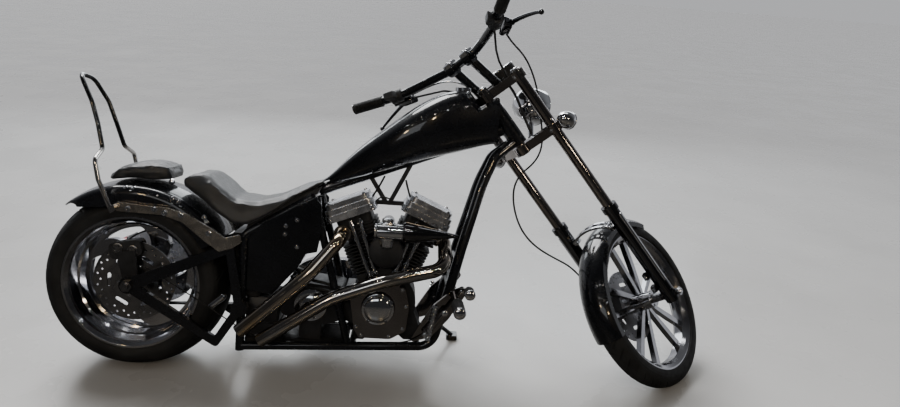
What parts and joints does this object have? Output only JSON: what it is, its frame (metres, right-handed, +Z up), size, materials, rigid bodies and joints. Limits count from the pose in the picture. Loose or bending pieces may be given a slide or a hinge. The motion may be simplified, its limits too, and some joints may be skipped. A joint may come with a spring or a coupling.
{
  "type": "chopper motorcycle",
  "caption": "Long chopper motorcycle with raked fork, wide rear tyre, teardrop tank, stepped seat, hoop backrest and a V-twin engine, parked on its side stand.",
  "frame": {"origin": "centre of the bounding box in plan, on the floor under the parked machine", "axes": "+X towards the front wheel, +Y to the rider's left, the side it leans to, +Z up"},
  "size_m": [2.5614, 0.7004, 1.4779],
  "materials": {
    "tyre": "satin",
    "polished_rim": "polished",
    "steel": "satin",
    "chrome": "polished",
    "black_paint": "gloss",
    "black_engine": "satin",
    "alloy": "satin",
    "rubber": "matte",
    "leather": "satin",
    "red_lens": "gloss"
  },
  "bodies": {
    "frame": {"frame_rear": "black_paint", "frame_rails": "black_paint", "frame_neck": "black_paint", "frame_downtubes": "black_paint", "seat_posts": "black_paint", "swingarm": "black_paint", "rear_axle": "steel", "rear_fender": "black_paint", "fender_struts": "chrome", "sissy_bar": "chrome", "plate_bracket": "black_paint", "tail_lamp": "red_lens", "rider_seat": "leather", "pillion_pad": "leather", "fuel_tank": "black_paint", "tank_cap": "chrome", "oil_tank": "black_paint", "crankcase": "black_engine", "gearbox": "black_engine", "primary_cover": "chrome", "cylinders": "black_engine", "rocker_boxes": "chrome", "top_mount": "black_engine", "cam_cover": "chrome", "pushrod_tubes": "chrome", "intake": "chrome", "air_cleaner": "chrome", "front_exhaust": "chrome", "rear_exhaust": "chrome", "rear_caliper": "black_engine", "right_controls": "chrome", "left_controls": "chrome", "regulator": "black_engine", "drive_belt": "rubber"},
    "rear_wheel": {"rear_tyre": "tyre", "rear_rim": "polished_rim", "rear_disc": "steel", "rear_pulley": "alloy"},
    "steering": {"fork_trees": "chrome", "fork_tubes": "chrome", "fork_sliders": "black_paint", "front_axle": "steel", "risers": "black_paint", "handlebar": "black_paint", "grips": "rubber", "bar_controls": "black_engine", "gauge": "black_engine", "headlamp": "chrome", "turn_signals": "chrome", "front_fender": "black_paint", "fork_brace": "chrome", "control_cables": "rubber", "front_caliper": "black_engine", "brake_hose": "rubber"},
    "front_wheel": {"front_tyre": "tyre", "front_rim": "polished_rim", "front_disc": "steel"},
    "side_stand": {"side_stand": "black_paint"}
  },
  "joints": [
    {"name": "rear_wheel_spin", "type": "hinge", "parent": "frame", "child": "rear_wheel", "pos_m": [-0.95282, -0.01846, 0.32598], "axis": [0, 0.9842, -0.1771], "continuous": true},
    {"name": "steering_turn", "type": "hinge", "parent": "frame", "child": "steering", "pos_m": [0.4506, 0.08043, 0.8756], "axis": [-0.6369, 0.1365, 0.7588], "range_deg": [-98, 0]},
    {"name": "front_wheel_spin", "type": "hinge", "parent": "steering", "child": "front_wheel", "pos_m": [0.9949, 0.02389, 0.28435], "axis": [-0.5818, 0.5606, -0.5892], "continuous": true},
    {"name": "side_stand_fold", "type": "hinge", "parent": "frame", "child": "side_stand", "pos_m": [0.15054, 0.0892, 0.13375], "axis": [0.0217, 0.7916, 0.6107], "range_deg": [0, 113.2]}
  ]
}
